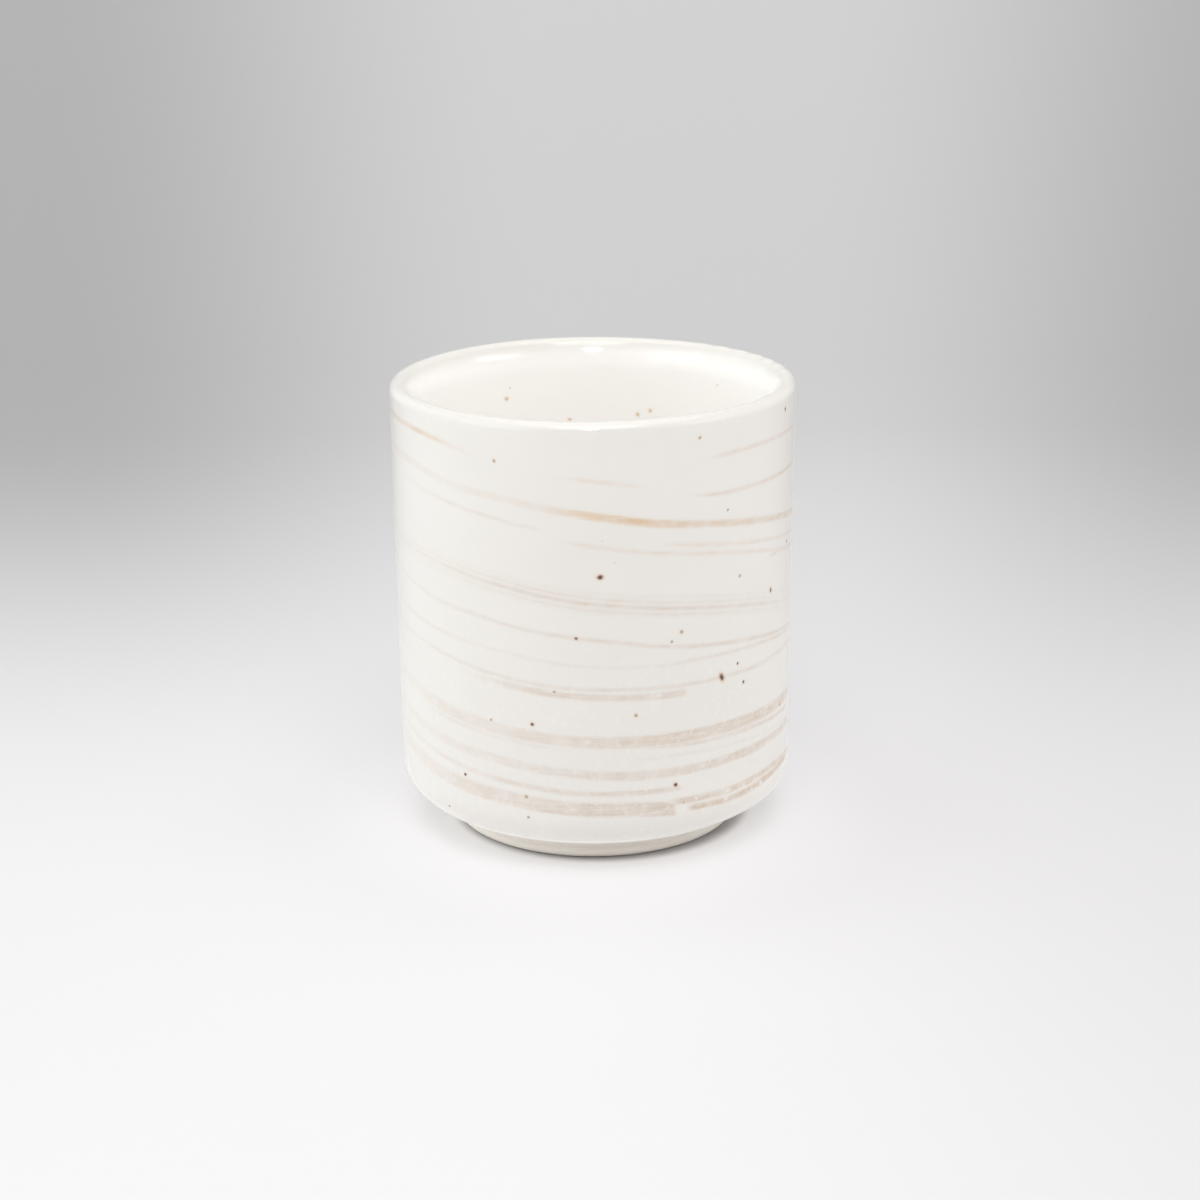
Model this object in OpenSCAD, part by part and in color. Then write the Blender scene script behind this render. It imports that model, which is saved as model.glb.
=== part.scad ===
// Straight-sided tea cup in glazed stoneware, standing on a bare foot ring.
// Millimetres, +Z up, origin on the cup's axis in the plane that the foot stands on.
// Every piece is turned from a half profile [radius, height] about the axis.

/* [Cup] */
// Diameter over the glaze at the rim
rim_d = 80; // [70:0.5:95]
// Diameter over the glaze at the bottom of the wall, where the heel begins
heel_d = 79; // [70:0.5:95]
// Height from the table to the top of the lip
cup_h = 90.5; // [70:0.5:120]

/* [Clay body] */
// Radius of the lip's crest, in the clay
lip_r = 1.3; // [0.8:0.1:2]
// Radius of the long roll from the crest into the inside wall, in the clay
roll_r = 11.6; // [4:0.1:20]
// Slope from upright at which the crest passes into the roll
roll_turn = 25; // [10:1:45]
// Thickness of the clay at the bottom of the wall
wall_t = 4.2; // [3:0.1:6]
// Thickness of the clay floor on the axis
floor_t = 4.5; // [3:0.1:8]
// Radius of the shallow dish that the floor forms inside
dish_r = 180; // [90:5:400]
// Radius between the wall and the floor inside, in the clay
well_r = 9; // [5:0.5:14]
// Radius of the heel outside, in the clay
heel_r = 9; // [5:0.1:12]
// Angle that the heel turns through, from the wall to the edge of the glaze
heel_turn = 70; // [50:1:80]

/* [Glaze] */
// Thickness of the coat outside
outer_coat_t = 0.4; // [0.2:0.05:0.8]
// Thickness of the coat inside
inner_coat_t = 0.4; // [0.2:0.05:0.8]

/* [Foot] */
// Height of the foot under the body
foot_h = 5.8; // [3:0.1:9]
// How far the foot's top stands in from the edge of the body's flat underside
foot_inset = 4; // [1:0.1:8]
// Width of the foot where it stands
foot_w = 5.5; // [3.5:0.1:9]
// Lean of the foot's two sides from upright
foot_lean = 6; // [0:1:15]
// Bevel on both edges of the face that the foot stands on
foot_bevel = 0.9; // [0.2:0.1:1.5]

/* [Hidden] */
$fn = 180;

// Largest step along a round stretch of a profile, in degrees
arc_step = 5;

// Centres of the profile's round stretches
lip_c = [rim_d / 2 - outer_coat_t - lip_r, cup_h - outer_coat_t - lip_r];
roll_c = lip_c - (roll_r - lip_r) * toward(180 - roll_turn);
heel_c = [heel_d / 2 - outer_coat_t - heel_r, foot_h + heel_r * sin(heel_turn)];
dish_c = [0, foot_h + floor_t + dish_r];
well_x = heel_d / 2 - outer_coat_t - wall_t - well_r;
well_c = [well_x, dish_c[1] - sqrt(pow(dish_r - well_r, 2) - pow(well_x, 2))];

// Slope of the floor where its dish runs into the well's round corner
dish_slope = asin(well_x / (dish_r - well_r));

// The wall's two faces are straight lines tangent to the rounds at their ends.
// Each is given by the direction that it faces: out past the heel, or in over the well.
lip_from_heel = lip_c - heel_c;
roll_from_well = roll_c - well_c;
outer_face = bearing(lip_from_heel) - acos((heel_r - lip_r) / norm(lip_from_heel));
inner_face = bearing(roll_from_well) + acos(-(roll_r + well_r) / norm(roll_from_well));

// Foot: outside radius at its top and base, and how far its sides lean over its height
foot_top_r = heel_c[0] + heel_r * cos(heel_turn) - foot_inset;
foot_run = foot_h * tan(foot_lean);
foot_base_r = foot_top_r - foot_run;
bevel_run = foot_bevel * tan(foot_lean);

function bearing(v) = atan2(v[1], v[0]);

function toward(angle) = [cos(angle), sin(angle)];

function reversed(points) = [for (i = [len(points) - 1:-1:0]) points[i]];

// Points round centre c from angle a to angle b; first = 1 leaves out the point at a
function arc(c, r, a, b, first = 0) =
    let (steps = ceil(abs(b - a) / arc_step))
    [for (i = [first:steps]) c + r * toward(a + (b - a) * i / steps)];

// Outside of the cup, a distance t off the clay: up the roll, over the lip, down the wall and round the heel
function outside(t) = concat(
    arc(roll_c, roll_r + t, inner_face, 180 - roll_turn),
    arc(lip_c, lip_r + t, 180 - roll_turn, outer_face, first = 1),
    arc(heel_c, heel_r + t, outer_face, -heel_turn)
);

// Inside of the cup, a distance t off the clay: down the wall, round the well and over the floor
function inside(t) = concat(
    [roll_c + (roll_r + t) * toward(inner_face)],
    arc(well_c, well_r - t, inner_face - 180, dish_slope - 90),
    arc(dish_c, dish_r - t, dish_slope - 90, -90, first = 1)
);

// The rolled lower edge of the outer glaze, half a circle of the coat's own thickness
function glaze_roll() = arc(
    heel_c + (heel_r + outer_coat_t / 2) * toward(-heel_turn),
    outer_coat_t / 2, -heel_turn, -heel_turn - 180, first = 1
);

// The same list without its first or its last point, where two stretches share one
function after_first(points) = [for (i = [1:len(points) - 1]) points[i]];
function before_last(points) = [for (i = [0:len(points) - 2]) points[i]];

// Thrown clay: the wall, its rounded lip and heel, and the floor with a flat underside
module clay_body() {
    color("#e6ded0")
        rotate_extrude()
            polygon(concat(
                [[0, foot_h]],
                reversed(outside(0)),
                after_first(inside(0))
            ));
}

// Bare ring that the cup stands on, wider at the top, with both edges of its base bevelled
module foot_ring() {
    color("#cdc7be")
        rotate_extrude()
            polygon([
                [foot_top_r, foot_h],
                [foot_base_r + bevel_run, foot_bevel],
                [foot_base_r - foot_bevel, 0],
                [foot_base_r - foot_w + foot_bevel, 0],
                [foot_base_r - foot_w - bevel_run, foot_bevel],
                [foot_base_r - foot_w - foot_run, foot_h]
            ]);
}

// Coat over the rim and the outside wall, ending in a roll under the heel
module outer_glaze() {
    color("#f4f0e9")
        rotate_extrude()
            polygon(concat(
                outside(outer_coat_t),
                before_last(glaze_roll()),
                reversed(outside(0))
            ));
}

// Coat over the inside wall and the floor, meeting the outer coat at the lip's inner edge
module inner_glaze() {
    color("#f5f1e6")
        rotate_extrude()
            polygon(concat(
                inside(inner_coat_t),
                reversed(inside(0))
            ));
}

clay_body();
foot_ring();
outer_glaze();
inner_glaze();
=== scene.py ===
import math

import bmesh
import bpy
import numpy as np
from mathutils import Euler, Matrix, Vector


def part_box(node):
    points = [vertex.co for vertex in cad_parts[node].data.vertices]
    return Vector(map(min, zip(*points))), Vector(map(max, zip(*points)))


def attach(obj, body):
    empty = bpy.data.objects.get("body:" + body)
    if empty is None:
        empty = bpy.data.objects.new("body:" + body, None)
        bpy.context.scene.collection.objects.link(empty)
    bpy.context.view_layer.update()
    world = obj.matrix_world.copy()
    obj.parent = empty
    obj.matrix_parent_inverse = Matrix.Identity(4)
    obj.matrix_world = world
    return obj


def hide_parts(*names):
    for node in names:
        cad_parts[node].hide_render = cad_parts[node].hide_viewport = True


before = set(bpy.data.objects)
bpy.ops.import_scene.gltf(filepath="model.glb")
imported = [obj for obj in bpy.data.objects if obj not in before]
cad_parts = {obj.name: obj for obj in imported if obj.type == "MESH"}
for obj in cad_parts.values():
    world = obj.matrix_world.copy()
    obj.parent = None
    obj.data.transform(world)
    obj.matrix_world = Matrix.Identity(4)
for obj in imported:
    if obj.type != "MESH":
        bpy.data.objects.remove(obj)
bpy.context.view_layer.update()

# Clay body. One piece of pale stoneware: wall, lip, heel and floor thrown on the wheel and trimmed underneath.
# Glaze covers all of it but the underside, where the trimming tool left its rings in the bare clay.
MM = 0.001
# Lengths are in millimetres and turns in degrees. The frame gives the overall sizes, the rest shape the profile.
body_low, body_high = (np.array(corner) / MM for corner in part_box("clay_body"))
liner_low, liner_high = (np.array(corner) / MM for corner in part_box("inner_glaze"))
coat_high = np.array(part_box("outer_glaze")[1]) / MM
cup_height = coat_high[2]
coat = coat_high[0] - body_high[0]
underside = body_low[2]
heel_width = 78.7
wall_thickness = 4.2
lip_radius = 1.3
roll_radius = 11.6
roll_slope = 25.0
heel_radius = 7.4
heel_turn = 76.0
well_radius = 9.0
dish_radius = 180.0
# Columns of mesh round the axis, one for each degree
around = 360
turn = np.linspace(0, 2 * math.pi, around, endpoint=False)


def toward(degrees):
    """Unit vector (radius, height) at an angle from outward horizontal."""
    return np.array([math.cos(math.radians(degrees)), math.sin(math.radians(degrees))])


def bearing(vector):
    """Angle of a (radius, height) vector from outward horizontal, in degrees."""
    return math.degrees(math.atan2(vector[1], vector[0]))


lip_centre = np.array([body_high[0] - lip_radius, body_high[2] - lip_radius])
roll_centre = lip_centre - (roll_radius - lip_radius) * toward(180 - roll_slope)
heel_centre = np.array([heel_width / 2 - coat - heel_radius, underside + heel_radius * toward(heel_turn)[1]])
dish_centre = np.array([0, liner_low[2] + dish_radius])
well_x = heel_width / 2 - coat - wall_thickness - well_radius
dish_slope = math.degrees(math.asin(well_x / (dish_radius - well_radius)))
well_drop = (dish_radius - well_radius) * math.cos(math.radians(dish_slope))
well_centre = np.array([well_x, dish_centre[1] - well_drop])
wall_rise = lip_centre - heel_centre
bore_rise = roll_centre - well_centre
# The wall's two faces are straight lines tangent to the rounds at their ends, each given by the way it faces.
wall_lean = math.acos((heel_radius - lip_radius) / np.linalg.norm(wall_rise))
bore_lean = math.acos(-(roll_radius + well_radius) / np.linalg.norm(bore_rise))
outer_face = bearing(wall_rise) - math.degrees(wall_lean)
inner_face = bearing(bore_rise) + math.degrees(bore_lean)


def arc(centre, radius, start, stop, rows):
    """Round stretch of a profile: centre + radius * (cos t, sin t), t from start to stop degrees down the rows.
    Radius and stop may differ round the cup, so the answer is (radius or height, row, column)."""
    t = np.radians(start + (stop - start) * np.linspace(0, 1, rows)[:, None]) + 0 * turn
    return np.stack([centre[0] + radius * np.cos(t), centre[1] + radius * np.sin(t)])


def straight(before, after, rows):
    """Straight run from the last row of one stretch to the first row of the next, without its two ends."""
    s = np.linspace(0, 1, rows + 2)[1:-1, None]
    return before[:, -1:] * (1 - s) + after[:, :1] * s


def outside(off, rows, heel_stop=-heel_turn):
    """Outside contour a distance off the clay: up the roll, over the lip, down the wall and round the heel.
    Rows gives how many each of the four has."""
    roll = arc(roll_centre, roll_radius + off, inner_face, 180 - roll_slope, rows[0])
    lip = arc(lip_centre, lip_radius + off, 180 - roll_slope, outer_face, rows[1])
    heel = arc(heel_centre, heel_radius + off, outer_face, heel_stop, rows[3])
    return np.concatenate([roll, lip[:, 1:], straight(lip, heel, rows[2]), heel], axis=1)


def inside(off, rows):
    """Inside contour a distance off the clay: down the wall from the roll, round the well and over the floor."""
    top = arc(roll_centre, roll_radius + off, inner_face, inner_face, 1)
    well = arc(well_centre, well_radius - off, inner_face - 180, dish_slope - 90, rows[1])
    dish = arc(dish_centre, dish_radius - off, dish_slope - 90, -90, rows[2])
    return np.concatenate([top, straight(top, well, rows[0]), well, dish[:, 1:]], axis=1)


def smooth(value, low, high):
    """Eased step from 0 at low to 1 at high: 3 s^2 - 2 s^3."""
    s = np.clip((value - low) / (high - low), 0, 1)
    return s * s * (3 - 2 * s)


def thrown(profile):
    """The thrower's hand, in millimetres: the wall leaves a true circle by a twofold and a threefold wave that
    grow towards the rim, the rim rises and falls by about 0.15 with small lumps on the far right, and low on
    the right the wall bulges by half a millimetre. Eased steps and a bell curve keep each to its stretch."""
    radius, height = profile
    share = smooth(height, 12, cup_height)
    oval = 0.07 * np.cos(2 * turn - 0.7) + 0.04 * np.cos(3 * turn + 1.1)
    near_rim = smooth(height, cup_height - 7, cup_height - 1)
    lumps = smooth(turn, 1.55, 1.9) * smooth(turn, 2.75, 2.4) * np.sin(46 * turn)
    lift = 0.10 * np.sin(turn + 0.4) + 0.05 * np.sin(4 * turn) + 0.07 * lumps
    low_side = np.exp(-((turn - 1.25) / 0.5) ** 2) * smooth(height, underside, 8.5) * smooth(height, 15, 10)
    return np.stack([radius + (share * oval + 0.5 * low_side) * (radius > 1), height + near_rim * lift])


def turned(name, profile, hidden_rows=0):
    """Profile rows carried round the axis: x = r sin a, y = -r cos a, so that a = 0 faces the viewer. The rows
    close in a ring, and rows on the axis draw in to one point. The map OFBake has the turn across and the length
    of the profile up, with the hidden rows at the end squeezed into a tenth."""
    radius, height = thrown(profile) * MM
    points = np.stack([radius * np.sin(turn), -radius * np.cos(turn), height], axis=-1)
    rows = len(points)
    row, column = (grid.ravel() for grid in np.meshgrid(np.arange(rows), np.arange(around), indexing="ij"))
    below, beside = (row + 1) % rows, (column + 1) % around
    quads = np.stack([row * around + column, row * around + beside,
                      below * around + beside, below * around + column], axis=1)
    steps = np.linalg.norm(np.diff(profile[:, :, 0], axis=1, append=profile[:, :1, 0]), axis=0)
    shown = rows - hidden_rows - 1
    hidden_length = max(steps[shown:].sum(), 1e-6)
    steps[shown:] *= 0.1 * steps[:shown].sum() / hidden_length
    level = np.concatenate([[0], np.cumsum(steps)]) / steps.sum()
    u = np.stack([column, column + 1, column + 1, column], axis=1) / around
    v = np.stack([level[row], level[row], level[row + 1], level[row + 1]], axis=1)

    mesh = bpy.data.meshes.new(name)
    mesh.from_pydata(points.reshape(-1, 3), [], quads)
    bake_map = np.stack([u, v], axis=-1).ravel().astype(np.float32)
    mesh.uv_layers.new(name="OFBake").data.foreach_set("uv", bake_map)
    shape = bmesh.new()
    shape.from_mesh(mesh)
    bmesh.ops.remove_doubles(shape, verts=shape.verts, dist=1e-7)
    bmesh.ops.dissolve_degenerate(shape, edges=shape.edges, dist=1e-8)
    bmesh.ops.recalc_face_normals(shape, faces=shape.faces)
    shape.to_mesh(mesh)
    shape.free()
    mesh.shade_smooth()
    mesh.set_sharp_from_angle(angle=math.radians(50))
    piece = bpy.data.objects.new(name, mesh)
    bpy.context.scene.collection.objects.link(piece)
    return piece


def linear(code):
    """sRGB hex to linear RGBA: c / 12.92 up to 0.04045, and ((c + 0.055) / 1.055) ^ 2.4 above it."""
    share = np.array([int(code[i:i + 2], 16) for i in (1, 3, 5)]) / 255
    return (*np.where(share <= 0.04045, share / 12.92, ((share + 0.055) / 1.055) ** 2.4), 1.0)


def add(tree, kind, into=None, **settings):
    """Adds a node of a kind with its own settings. Into gives each input a value, or the socket that feeds it."""
    node = tree.nodes.new(kind)
    for key, value in settings.items():
        setattr(node, key, value)
    for key, value in (into or {}).items():
        if isinstance(value, bpy.types.NodeSocket):
            tree.links.new(value, node.inputs[key])
        else:
            node.inputs[key].default_value = value
    return node


def new_material(name):
    """Empty material with no nodes at all, and its tree."""
    material = bpy.data.materials.new(name)
    material.use_nodes = True
    material.node_tree.nodes.clear()
    return material, material.node_tree


def bare_clay(name, tone, ring_spacing):
    """Bare stoneware, fired and trimmed on the wheel: matte, a little gritty, with fine rings from the tool.
    The rings run round the axis, ring_spacing millimetres apart. The tone is three colours: two that cloud into
    each other, and a third that the rings bring out. Grit and clouds have their sizes in millimetres."""
    grit_size, cloud_size = 0.5, 9.0
    material, tree = new_material(name)
    place = add(tree, "ShaderNodeTexCoord").outputs["Object"]
    grit = add(tree, "ShaderNodeTexNoise", {"Vector": place, "Scale": 1 / (grit_size * MM), "Detail": 3.0})
    cloud = add(tree, "ShaderNodeTexNoise", {"Vector": place, "Scale": 1 / (cloud_size * MM), "Detail": 2.0})
    axes = add(tree, "ShaderNodeSeparateXYZ", {"Vector": place})
    flat = add(tree, "ShaderNodeCombineXYZ", {"X": axes.outputs["X"], "Y": axes.outputs["Y"]})
    reach = add(tree, "ShaderNodeVectorMath", {0: flat.outputs["Vector"]}, operation="LENGTH")
    ring = add(tree, "ShaderNodeMath", {0: reach.outputs["Value"], 1: axes.outputs["Z"]}, operation="ADD")
    lines = add(tree, "ShaderNodeTexNoise", {"W": ring.outputs[0], "Scale": 1 / (ring_spacing * MM),
                                             "Detail": 2.0}, noise_dimensions="1D")
    shade = add(tree, "ShaderNodeMix", {0: cloud.outputs[0], 6: linear(tone[0]), 7: linear(tone[1])},
                data_type="RGBA")
    worn = add(tree, "ShaderNodeMapRange", {0: lines.outputs[0], 1: 0.3, 2: 0.7, 3: 0.0, 4: 0.35})
    lined = add(tree, "ShaderNodeMix", {0: worn.outputs[0], 6: shade.outputs[2], 7: linear(tone[2])},
                data_type="RGBA")
    relief = add(tree, "ShaderNodeMath", {0: lines.outputs[0], 1: 0.6, 2: grit.outputs[0]},
                 operation="MULTIPLY_ADD")
    bump = add(tree, "ShaderNodeBump", {"Height": relief.outputs[0], "Strength": 0.35, "Distance": 0.1 * MM})
    surface = add(tree, "ShaderNodeBsdfPrincipled", {"Base Color": lined.outputs[2], "Normal": bump.outputs[0],
                                                     "Roughness": 0.82, "IOR": 1.5})
    add(tree, "ShaderNodeOutputMaterial", {"Surface": surface.outputs[0]})
    return material


def trimmed_floor(rows):
    """Underside of the floor, from the heel's edge in to the axis, with rings cut by the trimming tool: a sine
    of the reach from the axis, which dies out on the axis and at the edge."""
    ring_height, ring_pitch = 0.04, 1.9
    edge = heel_centre[0] + heel_radius * toward(-heel_turn)[0]
    reach = np.linspace(edge, 0, rows)[1:]
    rings = ring_height * np.sin(2 * math.pi * reach / ring_pitch)
    rings = rings * smooth(reach, 0, 3) * smooth(reach, edge, edge - 1)
    return np.stack([reach[:, None] + 0 * turn, (underside + rings)[:, None] + 0 * turn])


# Rows of mesh along each stretch: many on the bare underside, few where the glaze hides the clay
body_profile = np.concatenate([
    trimmed_floor(70)[:, ::-1],
    outside(0, (5, 8, 10, 8))[:, ::-1],
    inside(0, (10, 8, 8))[:, 1:],
], axis=1)
clay_body = turned("thrown_clay_body", body_profile)
clay_body.data.materials.append(bare_clay("bare fired stoneware", ("#d9d2c6", "#cfc7ba", "#c2b8a8"), 0.9))
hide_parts("clay_body")
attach(clay_body, "root")

# Foot ring. The same stoneware left bare, a low ring that stands in from the heel and carries the cup.
# It is turned on the wheel, which leaves fine lines round its sides, and its standing edges are rubbed round.
foot_high = np.array(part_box("foot_ring")[1]) / MM
foot_width = 5.5
foot_lean = 6.0
foot_edge = 1.3
foot_base = foot_high[0] - underside * math.tan(math.radians(foot_lean))


def foot_side(base, lean, rows):
    """One side of the foot from its rounded base edge up to the body, leaning by some degrees, with turning
    lines that are a sine of the height and die out at both ends."""
    line_depth, line_pitch = 0.025, 0.75
    height = np.linspace(foot_edge, underside, rows)
    lines = line_depth * np.sin(2 * math.pi * height / line_pitch) * smooth(height, underside, underside - 0.5)
    radius = base + height * math.tan(math.radians(lean)) + lines * smooth(height, foot_edge, foot_edge + 0.6)
    return np.stack([radius[:, None] + 0 * turn, height[:, None] + 0 * turn])


outer_side = foot_side(foot_base, foot_lean, 56)
inner_side = foot_side(foot_base - foot_width, -foot_lean, 40)
outer_edge = arc((outer_side[0, 0, 0] - foot_edge, foot_edge), foot_edge, -90, 0, 9)
inner_edge = arc((inner_side[0, 0, 0] + foot_edge, foot_edge), foot_edge, 180, 270, 9)
foot_ring = turned("turned_foot_ring", np.concatenate([
    outer_edge, outer_side[:, 1:], inner_side[:, ::-1], inner_edge[:, 1:],
], axis=1))
# Painted light: the foot's clay is toned much paler than the same bare clay on the body, to light it under the
# heel.
foot_ring.data.materials.append(bare_clay("pale-painted turned stoneware", ("#f1ece4", "#ebe5dc", "#dfd8cd"), 0.5))
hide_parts("foot_ring")
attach(foot_ring, "root")

# Liner glaze. Clear warm-white glaze poured into the cup and emptied again, over the inside wall and the floor.
# It ends where it meets the outer coat on the lip's roll, and shows a few iron specks of the clay below.
liner_white = "#fdfbf8"
liner_shade = "#fbf8f4"
liner_speck = "#dcc6a5"
liner_halo = "#f3e8d0"
liner_cloud_size = 14.0
# Each speck: its angle and height, then its own width and height in mm, and its lean to the left in degrees.
inside_specks = [
    (-149.5, 79.0, 1.0, 0.9, 0), (-151.0, 81.2, 0.35, 0.4, 0), (-172.0, 73.4, 0.85, 0.6, 0),
    (164.5, 74.6, 0.85, 0.85, 0), (160.0, 75.6, 0.75, 0.85, 0), (133.5, 83.0, 0.4, 0.4, 0),
    (-60.0, 58.0, 0.8, 0.8, 0), (20.0, 66.0, 0.6, 0.5, 0), (75.0, 48.0, 0.9, 0.8, 20),
    (-10.0, 35.0, 0.7, 0.7, 0),
]


def cup_place(tree, width):
    """Place on the wall of a cup width millimetres across, as (arc length, height) in millimetres and as an
    angle in degrees from the front, positive to the right: the arc tangent of x over -y."""
    place = add(tree, "ShaderNodeTexCoord")
    axes = add(tree, "ShaderNodeSeparateXYZ", {"Vector": place.outputs["Object"]})
    back = add(tree, "ShaderNodeMath", {0: axes.outputs["Y"], 1: -1.0}, operation="MULTIPLY")
    angle = add(tree, "ShaderNodeMath", {0: axes.outputs["X"], 1: back.outputs[0]}, operation="ARCTAN2")
    degrees = add(tree, "ShaderNodeMath", {0: angle.outputs[0], 1: math.degrees(1)}, operation="MULTIPLY")
    length = add(tree, "ShaderNodeMath", {0: angle.outputs[0], 1: width / 2}, operation="MULTIPLY")
    height = add(tree, "ShaderNodeMath", {0: axes.outputs["Z"], 1: 1 / MM}, operation="MULTIPLY")
    spread = add(tree, "ShaderNodeCombineXYZ", {"X": length.outputs[0], "Y": height.outputs[0]})
    return place.outputs["Object"], degrees.outputs[0], height.outputs[0], spread.outputs[0]


def nearest_spot(tree, spread, spots, width):
    """Distance from the nearest of the spots, each an ellipse, over its own half width: under 1 is within it.
    A fine wobble of the place, its size and reach in millimetres, makes each a little ragged."""
    wobble_size, wobble_reach = 0.5, 0.24
    wobble = add(tree, "ShaderNodeTexNoise", {"Vector": spread, "Scale": 1 / wobble_size, "Detail": 1.0})
    ragged = add(tree, "ShaderNodeVectorMath", {0: wobble.outputs["Color"], 1: (wobble_reach, wobble_reach, 0.0),
                                                2: spread}, operation="MULTIPLY_ADD")
    nearest = None
    for angle, height, wide, tall, lean in spots:
        at = (math.radians(angle) * width / 2 + wobble_reach / 2, height + wobble_reach / 2, 0.0)
        inside_spot = add(tree, "ShaderNodeMapping", {
            "Vector": ragged.outputs[0], "Location": at, "Rotation": (0.0, 0.0, math.radians(lean)),
            "Scale": (wide / 2, tall / 2, 1.0)}, vector_type="TEXTURE")
        away = add(tree, "ShaderNodeVectorMath", {0: inside_spot.outputs[0]}, operation="LENGTH")
        share = away.outputs["Value"]
        if nearest is not None:
            share = add(tree, "ShaderNodeMath", {0: share, 1: nearest}, operation="MINIMUM").outputs[0]
        nearest = share
    return nearest


def speckled(tree, spread, base, specks, width, core_tone, halo_tone):
    """Iron specks: a dark core with a narrow rusty halo, where the glaze has drawn iron out of the grain. Both
    ease off with the distance from the speck, which is counted in its half widths."""
    nearest = nearest_spot(tree, spread, specks, width)
    halo = add(tree, "ShaderNodeMapRange", {0: nearest, 1: 2.1, 2: 0.9, 3: 0.0, 4: 0.4},
               interpolation_type="SMOOTHSTEP")
    core = add(tree, "ShaderNodeMapRange", {0: nearest, 1: 1.3, 2: 0.4, 3: 0.0, 4: 0.92},
               interpolation_type="SMOOTHSTEP")
    rusty = add(tree, "ShaderNodeMix", {0: halo.outputs[0], 6: base, 7: linear(halo_tone)}, data_type="RGBA")
    dark = add(tree, "ShaderNodeMix", {0: core.outputs[0], 6: rusty.outputs[2], 7: linear(core_tone)},
               data_type="RGBA")
    return dark.outputs[2]


def glaze_surface(tree, place, colour):
    """Fired glaze, smooth and glossy, with the faint orange peel that a poured coat keeps: hollows a few
    millimetres across that bend the reflections and dull them a little."""
    peel_size = 3.5
    peel = add(tree, "ShaderNodeTexNoise", {"Vector": place, "Scale": 1 / (peel_size * MM), "Detail": 2.0})
    bump = add(tree, "ShaderNodeBump", {"Height": peel.outputs[0], "Strength": 0.12, "Distance": 0.08 * MM})
    gloss = add(tree, "ShaderNodeMapRange", {0: peel.outputs[0], 1: 0.3, 2: 0.7, 3: 0.09, 4: 0.15})
    surface = add(tree, "ShaderNodeBsdfPrincipled", {"Base Color": colour, "Roughness": gloss.outputs[0],
                                                     "Normal": bump.outputs[0], "IOR": 1.52})
    add(tree, "ShaderNodeOutputMaterial", {"Surface": surface.outputs[0]})


liner_back = inside(0, (6, 8, 4))[:, ::-1]
liner_profile = np.concatenate([inside(coat, (90, 40, 50)), liner_back], axis=1)
liner = turned("liner_glaze", liner_profile, liner_back.shape[1])
liner_material, liner_tree = new_material("glossy white liner glaze")
liner_width = 2 * liner_high[0]
liner_place, _, _, liner_spread = cup_place(liner_tree, liner_width)
liner_cloud = add(liner_tree, "ShaderNodeTexNoise", {"Vector": liner_place, "Scale": 1 / (liner_cloud_size * MM),
                                                     "Detail": 2.0})
liner_tint = add(liner_tree, "ShaderNodeMix", {0: liner_cloud.outputs[0], 6: linear(liner_white),
                                               7: linear(liner_shade)}, data_type="RGBA")
liner_colour = speckled(liner_tree, liner_spread, liner_tint.outputs[2], inside_specks, liner_width,
                        liner_speck, liner_halo)
glaze_surface(liner_tree, liner_place, liner_colour)
liner.data.materials.append(liner_material)
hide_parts("inner_glaze")
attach(liner, "root")

# Outer glaze. Off-white glossy glaze over brushed slip: the cup turned on the wheel while a loaded brush went
# down it, so the strokes wind slowly down to the right. The cup was then dipped, and the glaze ended in a roll
# under the heel.
outer_white = "#e7e4df"
outer_shade = "#e3e0da"
# Painted shade for the lip's crest: a white a little darker than the glaze
crest_shade_white = "#e3e0da"
grain_white = "#f4f2ee"
slip_grey = "#c9b6a5"
slip_tan = "#d5ad78"
dark_speck, dark_halo = "#381f0b", "#d9a878"
faint_speck, faint_halo = "#b09b84", "#e4d2bc"
# How soft a stroke's edges are, and how much thicker the glaze is in the bead at its lower edge, in millimetres
edge_softness = 0.45
glaze_bead = 0.14
# Sizes in millimetres of a bristle's streak, long round the cup and narrow up it, of the slip's patches and bare
# flecks, and of the white's slow clouds and its fine grain
bristle_length, bristle_width = 8.0, 0.45
patch_size = 3.0
fleck_size = 0.9
white_cloud_size = 16.0
grain_size = 1.2
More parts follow.
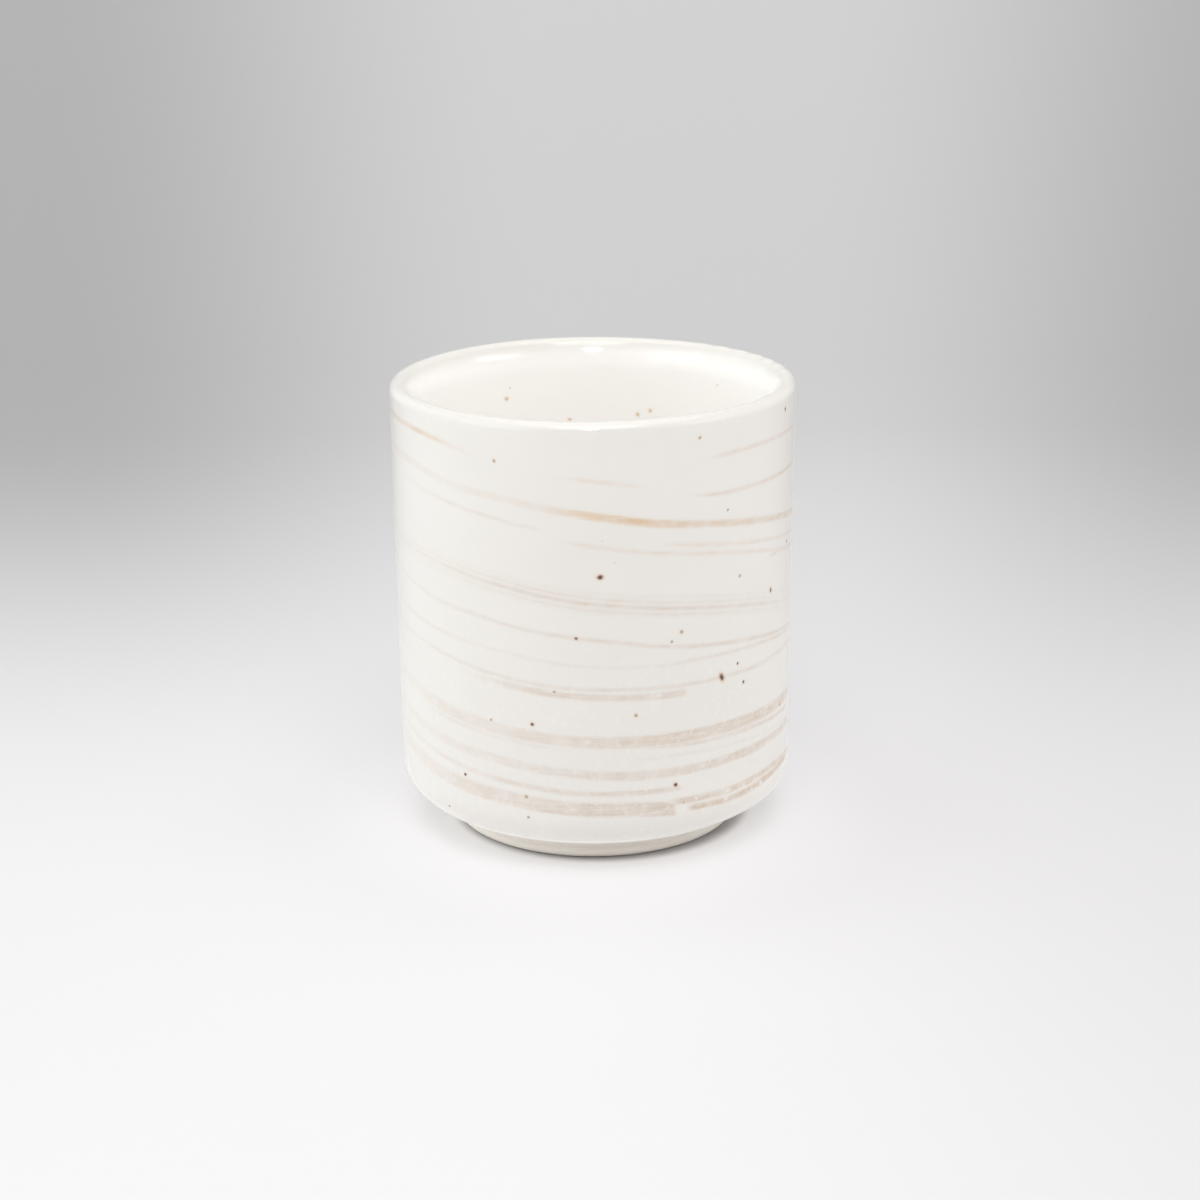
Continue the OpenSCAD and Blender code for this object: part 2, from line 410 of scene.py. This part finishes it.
# Each stroke: its middle line as (angle, height in mm) from its start to its end, its width in mm, how dense it
# is, how much of it is tan, and over how many degrees it fades in and out. Past 180 it is on the far side.
cluster = [(-100, 64.0), (-68, 61.5), (-45, 60.3), (-30, 59.0), (-6, 56.5), (13, 55.0), (41, 52.4), (79, 47.2),
           (125, 42.5)]
strokes = [
    ([(-120, 87.0), (-76, 85.8), (-54, 85.2), (-42, 84.2), (-29, 82.4)], 0.9, 0.6, 0.52, 30, 28),
    ([(-110, 82.0), (-71, 79.2), (-56, 78.3), (-44, 76.9), (-25, 75.5), (-7, 73.7), (8, 72.2)],
     1.4, 0.18, 0.35, 50, 20),
    ([(-21, 75.1), (-7, 73.7), (4, 72.6), (15, 71.3), (38, 69.2)], 1.5, 0.68, 0.95, 30, 26),
    ([(-2, 73.1), (15, 71.4), (31, 69.9), (48, 68.2), (75, 65.3), (120, 61.0)], 1.25, 0.60, 0.42, 14, 30),
    ([(-75, 76.2), (-48, 73.5), (-30, 71.8), (-13, 70.1)], 0.8, 0.25, 0.12, 40, 4),
    ([(-13, 80.7), (0, 79.7), (17, 77.9)], 0.7, 0.36, 0.6, 16, 15),
    ([(30, 82.2), (48, 82.7), (79, 82.4), (120, 81.0)], 0.8, 0.34, 0.35, 12, 30),
    ([(26, 76.0), (34, 75.2), (48, 75.1), (80, 75.0), (120, 74.0)], 0.7, 0.44, 0.3, 9, 30),
    ([(-12, 68.6), (15, 65.6), (37, 63.5), (77, 58.3), (120, 54.0)], 0.8, 0.28, 0.22, 10, 30),
    ([(15, 67.4), (30, 65.9), (65, 62.3), (110, 58.0)], 0.8, 0.26, 0.45, 12, 30),
    ([(56, 59.8), (70, 59.0), (95, 57.5)], 0.7, 0.36, 0.4, 6, 15),
    (cluster, 4.0, 0.14, 0.05, 120, 130),
    ([(angle, height + 2.2) for angle, height in cluster], 0.6, 0.18, 0.05, 150, 110),
    ([(angle, height + 1.1) for angle, height in cluster], 0.6, 0.32, 0.05, 90, 120),
    (cluster, 0.8, 0.52, 0.08, 100, 120),
    ([(angle, height - 1.2) for angle, height in cluster], 0.6, 0.32, 0.05, 120, 120),
    ([(-105, 58.0), (-69, 55.0), (-45, 52.6), (-35, 52.1), (-22, 50.7), (6, 48.4), (22, 46.6), (44, 44.9),
      (75, 42.0), (125, 37.0)], 0.8, 0.4, 0.02, 110, 30),
    ([(-110, 51.5), (-53, 47.2), (-26, 45.5), (-8, 44.0), (12, 43.2), (49, 42.9), (75, 41.2), (110, 38.5)],
     0.65, 0.2, 0.05, 60, 30),
    ([(14, 43.1), (49, 42.9), (75, 41.2), (110, 38.5)], 0.7, 0.36, 0.1, 20, 30),
    ([(-115, 47.0), (-53, 42.9), (-31, 40.9), (-12, 39.5), (7, 38.9), (49, 38.4), (77, 38.3), (115, 36.5)],
     0.75, 0.36, 0.05, 110, 30),
    ([(-43, 40.5), (-21, 38.7), (-4, 37.7), (12, 37.2), (27, 37.0)], 1.3, 0.52, 0.14, 30, 2),
    ([(-120, 36.5), (-71, 33.6), (-43, 30.9), (-22, 29.4), (-4, 28.5), (12, 28.2), (46, 28.0), (70, 27.5),
      (120, 25.5)], 2.35, 0.66, 0.2, 190, 30),
    ([(-60, 30.6), (-37, 28.6), (-17, 27.3), (-5, 26.7)], 0.8, 0.20, 0.1, 15, 12),
    ([(8, 27.5), (26, 26.5), (50, 26.0), (63, 25.4), (90, 24.0)], 0.8, 0.44, 0.05, 14, 15),
    ([(5, 24.6), (40, 24.2), (70, 22.7), (90, 22.0)], 0.7, 0.15, 0.0, 14, 15),
    ([(-120, 29.5), (-72, 26.8), (-44, 24.4), (-22, 23.0), (-4, 21.9), (12, 21.3), (43, 21.3), (71, 21.3),
      (120, 20.0)], 1.8, 0.54, 0.06, 180, 30),
    ([(-115, 25.8), (-73, 23.2), (-44, 20.5), (-22, 19.0), (-4, 18.0), (12, 17.8), (28, 17.7)],
     1.0, 0.7, 0.14, 170, 8),
    ([(-115, 22.0), (-71, 19.5), (-44, 16.8), (-22, 15.6), (-4, 14.7), (12, 14.3), (24, 13.4)],
     2.9, 0.7, 0.08, 150, 2),
    ([(20, 15.1), (40, 14.7), (64, 15.1), (76, 14.5), (120, 14.0)], 1.3, 0.68, 0.1, 4, 30),
    ([(26, 13.3), (40, 12.9), (71, 13.9), (120, 13.0)], 1.2, 0.9, 0.1, 3, 30),
    ([(110, 81.5), (160, 80.0), (210, 78.0), (245, 76.0)], 0.8, 0.35, 0.7, 20, 20),
    ([(130, 71.0), (170, 69.5), (215, 67.0)], 0.9, 0.30, 0.6, 15, 15),
    ([(95, 63.4), (150, 58.0), (200, 54.0), (250, 50.5)], 1.4, 0.40, 0.4, 25, 60),
    ([(95, 56.5), (150, 51.0), (200, 48.0), (250, 46.0)], 0.9, 0.32, 0.2, 25, 60),
    ([(100, 45.2), (150, 41.0), (200, 38.0), (245, 35.8)], 1.6, 0.45, 0.1, 25, 60),
    ([(100, 38.4), (150, 33.5), (200, 30.0), (245, 26.9)], 1.4, 0.45, 0.1, 25, 60),
    ([(95, 26.5), (150, 24.0), (200, 22.0), (245, 20.1)], 2.2, 0.55, 0.1, 20, 60),
    ([(95, 20.7), (150, 18.6), (200, 17.0), (250, 15.2)], 1.6, 0.55, 0.1, 20, 60),
    ([(95, 14.7), (150, 14.0), (200, 13.2), (240, 13.0)], 1.2, 0.55, 0.1, 20, 60),
]
# Spots that the brush jumped over, then iron specks: large dark ones, and small ones that the glaze half hides.
bare_spots = [(-2, 28.5, 1.3, 1.1, 0), (18, 37.2, 1.2, 1.0, 0), (41, 14.7, 1.4, 1.0, 0), (40, 13.1, 1.2, 0.9, 0),
              (56, 13.2, 1.4, 0.9, 0)]
dark_specks = [
    (1.8, 61.3, 1.25, 0.9, 10), (38.0, 38.5, 1.05, 1.65, 25), (-17.4, 31.6, 0.75, 0.7, 0),
    (23.1, 18.5, 0.85, 0.8, 0), (59.8, 52.4, 0.65, 1.0, 0), (44.1, 40.3, 0.5, 0.6, 0),
    (46.7, 36.1, 0.6, 0.65, 0), (-4.8, 49.3, 0.65, 0.6, 0), (-39.7, 18.6, 0.65, 0.6, 0),
    (-47.4, 10.4, 0.5, 0.45, 0), (67.6, 87.2, 0.6, 0.9, 0), (118.0, 70.5, 0.7, 0.7, 0),
    (142.0, 44.0, 0.9, 0.8, 15), (176.0, 22.5, 0.7, 0.6, 0), (-150.0, 36.5, 0.8, 0.7, 0),
    (-121.0, 17.0, 0.6, 0.6, 0), (104.0, 31.0, 0.6, 0.6, 0),
]
faint_specks = [
    (29.7, 86.5, 0.65, 0.65, 0), (39.4, 71.6, 0.55, 0.55, 0), (44.4, 57.9, 0.7, 0.7, 0),
    (24.6, 49.3, 0.85, 0.8, 0), (21.7, 47.6, 0.6, 0.6, 0), (-27.0, 82.6, 0.7, 0.65, 0),
    (-11.0, 38.5, 0.6, 0.55, 0), (-30.0, 31.3, 0.55, 0.55, 0), (11.4, 33.6, 0.75, 0.75, 0),
    (-19.6, 16.6, 0.8, 0.8, 0), (-19.1, 12.4, 0.65, 0.6, 0), (25.6, 14.5, 0.5, 0.45, 0),
    (68.6, 26.9, 0.9, 1.0, 0), (72.2, 60.0, 0.85, 1.0, 0), (2.4, 68.3, 0.2, 0.2, 0),
    (5.8, 64.0, 0.2, 0.2, 0), (151.0, 82.0, 0.5, 0.5, 0), (167.0, 59.0, 0.5, 0.5, 0),
    (-164.0, 74.0, 0.5, 0.5, 0), (-137.0, 61.0, 0.5, 0.5, 0), (-108.0, 72.0, 0.5, 0.5, 0),
    (128.0, 14.5, 0.5, 0.5, 0), (-96.0, 47.0, 0.45, 0.45, 0),
]


def brush_stroke_group():
    """One stroke of slip. Its cover is full within its width and falls off over the softness of its edge, and it
    fades in and out over some degrees at its ends."""
    group = bpy.data.node_groups.new("brush stroke of slip", "ShaderNodeTree")
    for name in ("Turned", "Sweep", "Height", "Line", "Half width", "Strength", "Fade in", "Fade out"):
        group.interface.new_socket(name, in_out="INPUT", socket_type="NodeSocketFloat")
    group.interface.new_socket("Cover", in_out="OUTPUT", socket_type="NodeSocketFloat")
    given = add(group, "NodeGroupInput").outputs
    off = add(group, "ShaderNodeMath", {0: given["Height"], 1: given["Line"]}, operation="SUBTRACT")
    apart = add(group, "ShaderNodeMath", {0: off.outputs[0]}, operation="ABSOLUTE")
    past = add(group, "ShaderNodeMath", {0: apart.outputs[0], 1: given["Half width"]}, operation="SUBTRACT")
    body = add(group, "ShaderNodeMapRange", {0: past.outputs[0], 1: edge_softness, 2: -edge_softness},
               interpolation_type="SMOOTHSTEP")
    fade_in = add(group, "ShaderNodeMapRange", {0: given["Turned"], 1: 0.0, 2: given["Fade in"]},
                  interpolation_type="SMOOTHSTEP")
    left = add(group, "ShaderNodeMath", {0: given["Sweep"], 1: given["Turned"]}, operation="SUBTRACT")
    fade_out = add(group, "ShaderNodeMapRange", {0: left.outputs[0], 1: 0.0, 2: given["Fade out"]},
                   interpolation_type="SMOOTHSTEP")
    cover = body.outputs[0]
    for share in (fade_in.outputs[0], fade_out.outputs[0], given["Strength"]):
        cover = add(group, "ShaderNodeMath", {0: cover, 1: share}, operation="MULTIPLY").outputs[0]
    add(group, "NodeGroupOutput", {"Cover": cover})
    return group


def glazed_outside():
    """Off-white glaze with brushed slip under it: two covers, grey-beige and tan, each the greatest of its
    strokes. Dry bristle streaks, patches, flecks low on the wall and bare spots break them up, and they are
    mixed into the white. A fine pale grain lies over it, stronger low on the wall. The roll inside the lip has
    the liner's white and no strokes, and over the lip's crest a slightly darker white is painted as shade."""
    seam_start, seam_end = 35.65 * MM, 37.0 * MM
    wall_start, wall_end = 37.5 * MM, 39.3 * MM
    cup_width = 2 * coat_high[0]
    material, tree = new_material("glossy off-white glaze over brushed slip")
    place, degrees, height, spread = cup_place(tree, cup_width)
    group = brush_stroke_group()
    grey = tan = None
    for line, width, strength, tan_share, fade_in, fade_out in strokes:
        start, sweep = line[0][0], line[-1][0] - line[0][0]
        since = add(tree, "ShaderNodeMath", {0: degrees, 1: float(start)}, operation="SUBTRACT")
        turned_by = add(tree, "ShaderNodeMath", {0: since.outputs[0], 1: 360.0, 2: 0.0}, operation="WRAP")
        along = add(tree, "ShaderNodeMath", {0: turned_by.outputs[0], 1: float(sweep)}, operation="DIVIDE")
        middle = add(tree, "ShaderNodeFloatCurve", {"Value": along.outputs[0]})
        curve = middle.mapping.curves[0]
        for point, (angle, level) in zip((curve.points[0], curve.points[1]), (line[0], line[-1])):
            point.location = ((angle - start) / sweep, level / 100)
        for angle, level in line[1:-1]:
            curve.points.new((angle - start) / sweep, level / 100)
        middle.mapping.update()
        level = add(tree, "ShaderNodeMath", {0: middle.outputs[0], 1: 100.0}, operation="MULTIPLY")
        stroke = add(tree, "ShaderNodeGroup", {
            "Turned": turned_by.outputs[0], "Sweep": float(sweep), "Height": height, "Line": level.outputs[0],
            "Half width": width / 2, "Strength": strength,
            "Fade in": float(fade_in), "Fade out": float(fade_out),
        }, node_tree=group)
        cover = stroke.outputs[0]
        warm = add(tree, "ShaderNodeMath", {0: cover, 1: tan_share}, operation="MULTIPLY").outputs[0]
        cool = add(tree, "ShaderNodeMath", {0: cover, 1: 1 - tan_share}, operation="MULTIPLY").outputs[0]
        if grey is not None:
            warm = add(tree, "ShaderNodeMath", {0: tan, 1: warm}, operation="MAXIMUM").outputs[0]
            cool = add(tree, "ShaderNodeMath", {0: grey, 1: cool}, operation="MAXIMUM").outputs[0]
        grey, tan = cool, warm
    brush_scale = (1 / (bristle_length * MM), 1 / (bristle_length * MM), 1 / (bristle_width * MM))
    stretch = add(tree, "ShaderNodeMapping", {"Vector": place, "Scale": brush_scale})
    bristles = add(tree, "ShaderNodeTexNoise", {"Vector": stretch.outputs[0], "Scale": 1.0, "Detail": 2.0})
    streaks = add(tree, "ShaderNodeMapRange", {0: bristles.outputs[0], 1: 0.3, 2: 0.65, 3: 0.6, 4: 1.1})
    blotch = add(tree, "ShaderNodeTexNoise", {"Vector": place, "Scale": 1 / (patch_size * MM), "Detail": 2.0})
    patches = add(tree, "ShaderNodeMapRange", {0: blotch.outputs[0], 1: 0.3, 2: 0.65, 3: 0.6, 4: 1.15})
    dots = add(tree, "ShaderNodeTexNoise", {"Vector": place, "Scale": 1 / (fleck_size * MM), "Detail": 1.0})
    gaps = add(tree, "ShaderNodeMapRange", {0: dots.outputs[0], 1: 0.56, 2: 0.7, 3: 0.0, 4: 0.5},
               interpolation_type="SMOOTHSTEP")
    low = add(tree, "ShaderNodeMapRange", {0: height, 1: 38.0, 2: 26.0}, interpolation_type="SMOOTHSTEP")
    dry = add(tree, "ShaderNodeMapRange", {0: degrees, 1: -50.0, 2: 25.0, 3: 0.2, 4: 1.0},
              interpolation_type="SMOOTHSTEP")
    bared = add(tree, "ShaderNodeMath", {0: low.outputs[0], 1: dry.outputs[0]}, operation="MULTIPLY")
    lost = add(tree, "ShaderNodeMath", {0: gaps.outputs[0], 1: bared.outputs[0]}, operation="MULTIPLY")
    flecks = add(tree, "ShaderNodeMath", {0: 1.0, 1: lost.outputs[0]}, operation="SUBTRACT")
    from_spot = nearest_spot(tree, spread, bare_spots, cup_width)
    jumped = add(tree, "ShaderNodeMapRange", {0: from_spot, 1: 0.6, 2: 1.2, 3: 0.25, 4: 1.0},
                 interpolation_type="SMOOTHSTEP")
    axes = add(tree, "ShaderNodeSeparateXYZ", {"Vector": place})
    flat = add(tree, "ShaderNodeCombineXYZ", {"X": axes.outputs["X"], "Y": axes.outputs["Y"]})
    reach = add(tree, "ShaderNodeVectorMath", {0: flat.outputs[0]}, operation="LENGTH")
    on_wall = add(tree, "ShaderNodeMapRange", {0: reach.outputs["Value"], 1: wall_start, 2: wall_end},
                  interpolation_type="SMOOTHSTEP")
    from_seam = add(tree, "ShaderNodeMapRange", {0: reach.outputs["Value"], 1: seam_start, 2: seam_end},
                    interpolation_type="SMOOTHSTEP")
    thinned = streaks.outputs[0]
    for share in (patches.outputs[0], flecks.outputs[0], jumped.outputs[0], on_wall.outputs[0]):
        thinned = add(tree, "ShaderNodeMath", {0: thinned, 1: share}, operation="MULTIPLY").outputs[0]
    cloud = add(tree, "ShaderNodeTexNoise", {"Vector": place, "Scale": 1 / (white_cloud_size * MM),
                                             "Detail": 2.0})
    shaded = add(tree, "ShaderNodeMix", {0: cloud.outputs[0], 6: linear(outer_white), 7: linear(outer_shade)},
                 data_type="RGBA")
    white = add(tree, "ShaderNodeMix", {0: from_seam.outputs[0], 6: linear(liner_white), 7: shaded.outputs[2]},
                data_type="RGBA")
    # Painted shade: the top millimetre of the lip is mixed to the darker crest white.
    crest_shade_mask = add(tree, "ShaderNodeMapRange", {0: height, 1: cup_height - 1.3, 2: cup_height - 0.3},
                   interpolation_type="SMOOTHSTEP")
    white = add(tree, "ShaderNodeMix", {0: crest_shade_mask.outputs[0], 6: white.outputs[2], 7: linear(crest_shade_white)},
                data_type="RGBA")
    grey_cover = add(tree, "ShaderNodeMath", {0: grey, 1: thinned}, operation="MULTIPLY")
    tan_cover = add(tree, "ShaderNodeMath", {0: tan, 1: thinned}, operation="MULTIPLY")
    greyed = add(tree, "ShaderNodeMix", {0: grey_cover.outputs[0], 6: white.outputs[2], 7: linear(slip_grey)},
                 data_type="RGBA")
    tanned = add(tree, "ShaderNodeMix", {0: tan_cover.outputs[0], 6: greyed.outputs[2], 7: linear(slip_tan)},
                 data_type="RGBA")
    grain = add(tree, "ShaderNodeTexNoise", {"Vector": place, "Scale": 1 / (grain_size * MM), "Detail": 2.0})
    lower = add(tree, "ShaderNodeMapRange", {0: height, 1: 65.0, 2: 30.0, 3: 0.05, 4: 0.22},
                interpolation_type="SMOOTHSTEP")
    pale = add(tree, "ShaderNodeMapRange", {0: grain.outputs[0], 1: 0.54, 2: 0.76, 4: lower.outputs[0]})
    grained = add(tree, "ShaderNodeMix", {0: pale.outputs[0], 6: tanned.outputs[2], 7: linear(grain_white)},
                  data_type="RGBA")
    rusted = speckled(tree, spread, grained.outputs[2], faint_specks, cup_width, faint_speck, faint_halo)
    colour = speckled(tree, spread, rusted, dark_specks, cup_width, dark_speck, dark_halo)
    glaze_surface(tree, place, colour)
    return material


# The glaze's lower edge wavers by up to two degrees, and its last rows thicken into the bead.
heel_stop = -heel_turn + 1.2 * np.sin(3 * turn + 0.5) + 0.8 * np.sin(7 * turn)
bead_rows = 15
outer_skin = outside(coat, (22, 26, 96, 40), heel_stop)
last_row = outer_skin.shape[1] - 1
bead_share = smooth(np.arange(last_row + 1), last_row - bead_rows, last_row)[:, None]
outward = outer_skin - heel_centre[:, None, None]
outer_skin = outer_skin + glaze_bead * bead_share * outward / np.linalg.norm(outward, axis=0)
bead_radius = (coat + glaze_bead) / 2
bead_angle = np.radians(heel_stop)
bead_reach = heel_radius + bead_radius
bead_centre = heel_centre[0] + bead_reach * np.cos(bead_angle), heel_centre[1] + bead_reach * np.sin(bead_angle)
bead = arc(bead_centre, bead_radius, heel_stop, heel_stop - 180, 14)
back_rows = outside(0, (5, 8, 10, 10), heel_stop)[:, ::-1]
outer_glaze = turned("outer_glaze_coat", np.concatenate([outer_skin, bead[:, 1:-1], back_rows], axis=1),
                     back_rows.shape[1])
outer_glaze.data.materials.append(glazed_outside())
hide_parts("outer_glaze")
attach(outer_glaze, "root")

# Studio sweep. A plain pale paper sheet, in metres, that lies flat under the cup and curves up behind it without
# a corner. It has a faint glow of its own, which also lights the cup from below, and close round the foot it
# throws more light up at the heel than the camera sees.
sweep_back = 0.42
sweep_radius = 0.5
sweep_front = 12.0
sweep_width = 16.0
sweep_top = 2.2
sweep_grey = "#b8b6b7"
glow = 0.33
near_glow = 0.6
near_glow_seen = 0.35


def sweep_sheet(rows, columns):
    """Floor, quarter round and wall in one sheet: depth and height along its length, sideways across."""
    floor = np.stack([np.linspace(-sweep_front, sweep_back, rows), np.zeros(rows)])
    t = np.linspace(0, math.pi / 2, rows)[1:]
    curve = np.stack([sweep_back + sweep_radius * np.sin(t), sweep_radius * (1 - np.cos(t))])
    rise = np.linspace(sweep_radius, sweep_top, rows)[1:]
    wall = np.stack([np.full(rows - 1, sweep_back + sweep_radius), rise])
    depth, height = np.concatenate([floor, curve, wall], axis=1)
    sideways = np.linspace(-sweep_width / 2, sweep_width / 2, columns)
    points = np.stack(np.broadcast_arrays(sideways[None, :], depth[:, None], height[:, None]), axis=-1)
    grids = np.meshgrid(np.arange(len(depth) - 1), np.arange(columns - 1), indexing="ij")
    row, column = (grid.ravel() for grid in grids)
    corner = row * columns + column
    quads = np.stack([corner, corner + 1, corner + columns + 1, corner + columns], axis=1)
    mesh = bpy.data.meshes.new("studio_sweep")
    mesh.from_pydata(points.reshape(-1, 3), [], quads)
    mesh.shade_smooth()
    sheet = bpy.data.objects.new("studio_sweep", mesh)
    bpy.context.scene.collection.objects.link(sheet)
    return sheet


sweep = sweep_sheet(40, 20)
paper, paper_tree = new_material("matte paper sweep")
paper_place = add(paper_tree, "ShaderNodeTexCoord")
paper_axes = add(paper_tree, "ShaderNodeSeparateXYZ", {"Vector": paper_place.outputs["Object"]})
# Painted light and shade on the sheet: its tone falls off behind the cup and rises a little up the curve. It is
# painted dimmer, as shade, on the right near the cup, and far back to both sides of a fan that opens from a point
# half a metre in front.
paper_shade_back = add(paper_tree, "ShaderNodeMapRange", {0: paper_axes.outputs["Y"], 1: -0.03, 2: 0.33,
                                                     3: 1.0, 4: 0.76})
paper_light_up_curve = add(paper_tree, "ShaderNodeMapRange", {0: paper_axes.outputs["Z"], 1: 0.0, 2: 0.3, 3: 1.0, 4: 1.1})
paper_shade_right = add(paper_tree, "ShaderNodeMapRange", {0: paper_axes.outputs["X"], 1: -0.02, 2: 0.14,
                                                     3: 0.0, 4: 0.1}, interpolation_type="SMOOTHSTEP")
paper_ahead = add(paper_tree, "ShaderNodeMath", {0: paper_axes.outputs["Y"], 1: 0.49}, operation="ADD")
paper_fan = add(paper_tree, "ShaderNodeMath", {0: paper_axes.outputs["X"], 1: paper_ahead.outputs[0]},
                operation="DIVIDE")
paper_side = add(paper_tree, "ShaderNodeMath", {0: paper_fan.outputs[0], 1: 0.03}, operation="SUBTRACT")
paper_away = add(paper_tree, "ShaderNodeMath", {0: paper_side.outputs[0]}, operation="ABSOLUTE")
paper_shade_sides = add(paper_tree, "ShaderNodeMapRange", {0: paper_away.outputs[0], 1: 0.05, 2: 0.25, 3: 0.0, 4: 0.3},
                 interpolation_type="SMOOTHSTEP")
paper_far = add(paper_tree, "ShaderNodeMapRange", {0: paper_axes.outputs["Y"], 1: 0.0, 2: 0.3},
                interpolation_type="SMOOTHSTEP")
paper_shade_mix = add(paper_tree, "ShaderNodeMix", {0: paper_far.outputs[0], 2: paper_shade_right.outputs[0],
                                              3: paper_shade_sides.outputs[0]})
paper_unshaded = add(paper_tree, "ShaderNodeMath", {0: 1.0, 1: paper_shade_mix.outputs[0]}, operation="SUBTRACT")
# The product is the sheet's painted shade, which dims both its grey and its glow.
paper_shading = paper_shade_back.outputs[0]
for share in (paper_light_up_curve.outputs[0], paper_unshaded.outputs[0]):
    paper_shading = add(paper_tree, "ShaderNodeMath", {0: paper_shading, 1: share}, operation="MULTIPLY").outputs[0]
# The glow is left out under and just round the foot, centred a millimetre to the right: painted contact shadow,
# wider on the right. The glow's stronger part ends a few centimetres further out.
paper_shadow_offset = add(paper_tree, "ShaderNodeMath", {0: paper_axes.outputs["X"], 1: 1.0 * MM}, operation="SUBTRACT")
paper_flat = add(paper_tree, "ShaderNodeCombineXYZ", {"X": paper_shadow_offset.outputs[0], "Y": paper_axes.outputs["Y"]})
paper_reach = add(paper_tree, "ShaderNodeVectorMath", {0: paper_flat.outputs["Vector"]}, operation="LENGTH")
paper_shadow_cut = add(paper_tree, "ShaderNodeMapRange", {0: paper_reach.outputs["Value"], 1: 28.2 * MM, 2: 31.5 * MM,
                                                     4: glow}, interpolation_type="SMOOTHSTEP")
paper_near = add(paper_tree, "ShaderNodeMapRange", {0: paper_reach.outputs["Value"], 1: 65 * MM, 2: 32 * MM,
                                                    4: near_glow}, interpolation_type="SMOOTHSTEP")
paper_seen = add(paper_tree, "ShaderNodeLightPath")
paper_thrown = add(paper_tree, "ShaderNodeMapRange", {0: paper_seen.outputs["Is Camera Ray"], 3: 1.0,
                                                      4: near_glow_seen})
paper_bounce = add(paper_tree, "ShaderNodeMath", {0: paper_near.outputs[0], 1: paper_thrown.outputs[0], 2: 1.0},
                   operation="MULTIPLY_ADD")
paper_lit = add(paper_tree, "ShaderNodeMath", {0: paper_shadow_cut.outputs[0], 1: paper_bounce.outputs[0]},
                operation="MULTIPLY")
paper_glow = add(paper_tree, "ShaderNodeMath", {0: paper_lit.outputs[0], 1: paper_shading}, operation="MULTIPLY")
paper_colour = add(paper_tree, "ShaderNodeMix", {0: paper_shading, 6: (0.0, 0.0, 0.0, 1.0), 7: linear(sweep_grey)},
                   data_type="RGBA")
paper_surface = add(paper_tree, "ShaderNodeBsdfPrincipled", {
    "Base Color": paper_colour.outputs[2], "Roughness": 1.0, "Specular IOR Level": 0.0,
    "Emission Color": (1.0, 1.0, 1.0, 1.0), "Emission Strength": paper_glow.outputs[0]})
add(paper_tree, "ShaderNodeOutputMaterial", {"Surface": paper_surface.outputs[0]})
sweep.data.materials.append(paper)

# Studio light. A softbox on each side, which the lip's roll mirrors, a large fill beyond each, which the glaze
# doesn't mirror, a small lamp above the camera, two softboxes over the cup, and an even room light. Each lamp
# has its direction in degrees, its distance and size in metres, how bright it looks and its tint.
cool, plain, warm = (0.95, 0.99, 1.0), (1.0, 1.0, 1.0), (1.0, 0.985, 0.97)
softboxes = [
    ("left softbox", -57, 17, 0.9, 0.62, 0.40, 1.25, cool),
    ("far left fill", -110, 12, 1.2, 1.60, 0.80, 2.9, cool),
    ("right softbox", 67, 21, 0.9, 0.50, 0.14, 3.4, plain),
    ("far right fill", 112, 12, 1.2, 1.60, 0.80, 2.15, plain),
    ("front light", -1, 29, 1.0, 0.11, 0.08, 40.0, warm),
    ("high front softbox", 3, 52, 1.2, 0.80, 0.60, 3.6, plain),
    ("overhead softbox", 0, 88, 1.2, 1.40, 1.40, 1.25, plain),
]
aim = Vector((0, 0, cup_height * MM / 2))
for name, azimuth, elevation, distance, width, height, radiance, tint in softboxes:
    a, e = math.radians(azimuth), math.radians(elevation)
    direction = Vector((math.sin(a) * math.cos(e), -math.cos(a) * math.cos(e), math.sin(e)))
    lamp = bpy.data.lights.new(name, "AREA")
    lamp.shape = "RECTANGLE"
    lamp.size, lamp.size_y = width, height
    lamp.energy = radiance * math.pi * width * height
    lamp.color = tint
    softbox = bpy.data.objects.new(name, lamp)
    softbox.location = aim + distance * direction
    softbox.rotation_euler = direction.to_track_quat("Z", "Y").to_euler()
    softbox.visible_glossy = "fill" not in name
    bpy.context.scene.collection.objects.link(softbox)

room_light = 0.22
room_seen = 0.65
world = bpy.data.worlds.new("even room light")
world.use_nodes = True
world.node_tree.nodes.clear()
seen = add(world.node_tree, "ShaderNodeLightPath")
dim_or_pale = add(world.node_tree, "ShaderNodeMapRange", {0: seen.outputs["Is Camera Ray"], 3: room_light,
                                                          4: room_seen})
room = add(world.node_tree, "ShaderNodeBackground", {"Strength": dim_or_pale.outputs[0],
                                                     "Color": (1.0, 1.0, 1.0, 1.0)})
add(world.node_tree, "ShaderNodeOutputWorld", {"Surface": room.outputs[0]})
bpy.context.scene.world = world
bpy.context.scene.view_settings.view_transform = "Standard"

# Camera. It stands half a metre in front of the cup and looks down on it, as the photograph does.
# The focal length over the frame's width was fitted to the cup's outline together with the place and the tilt.
camera_place = Vector((1.2, -487.0, 198.5)) * MM
camera_pitch = 17.57
camera_roll = -0.42
frame_width = 36.0
focal_share = 2524 / 1200
camera = bpy.data.objects.new("camera", bpy.data.cameras.new("camera"))
camera.data.sensor_width = frame_width
camera.data.lens = frame_width * focal_share
camera.data.clip_start = 0.01
pitched = Euler((math.radians(90 - camera_pitch), 0, 0)).to_matrix()
rolled = Matrix.Rotation(math.radians(camera_roll), 3, "Z")
camera.rotation_euler = (pitched @ rolled).to_euler()
camera.location = camera_place
bpy.context.scene.collection.objects.link(camera)
bpy.context.scene.camera = camera
